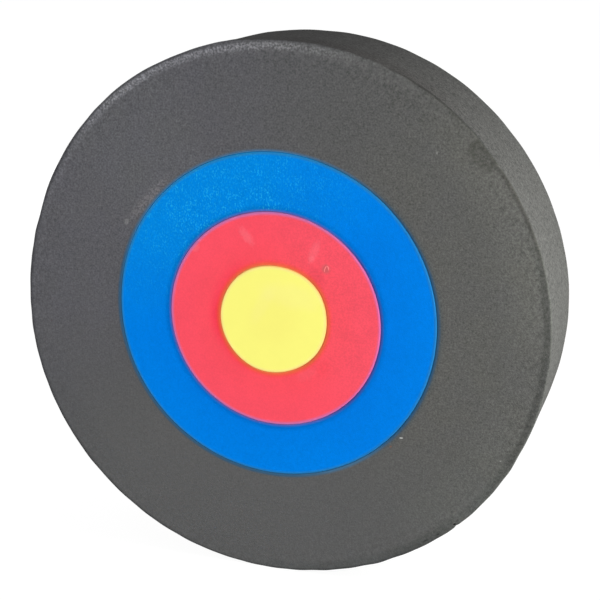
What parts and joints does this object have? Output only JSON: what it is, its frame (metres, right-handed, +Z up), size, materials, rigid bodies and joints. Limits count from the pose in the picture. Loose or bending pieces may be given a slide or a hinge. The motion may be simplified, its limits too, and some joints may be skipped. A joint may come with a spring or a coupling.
{
  "type": "archery target boss",
  "caption": "Round foam archery boss: grey planks bonded face to face, the front one holding nested blue, red and yellow foam zones.",
  "frame": {"origin": "centre of the flat back face, on the boss's axis", "axes": "+Z up, the target face looks towards -Y, +Y points out of the back along the boss's axis"},
  "size_m": [0.5988, 0.1424, 0.5987],
  "materials": {
    "grey_foam": "matte",
    "blue_foam": "matte",
    "red_foam": "matte",
    "yellow_foam": "matte"
  },
  "bodies": {
    "root": {"grey_front_ring": "grey_foam", "blue_ring": "blue_foam", "red_ring": "red_foam", "yellow_centre": "yellow_foam", "second_plank": "grey_foam", "third_plank": "grey_foam", "back_plank": "grey_foam"}
  },
  "joints": []
}
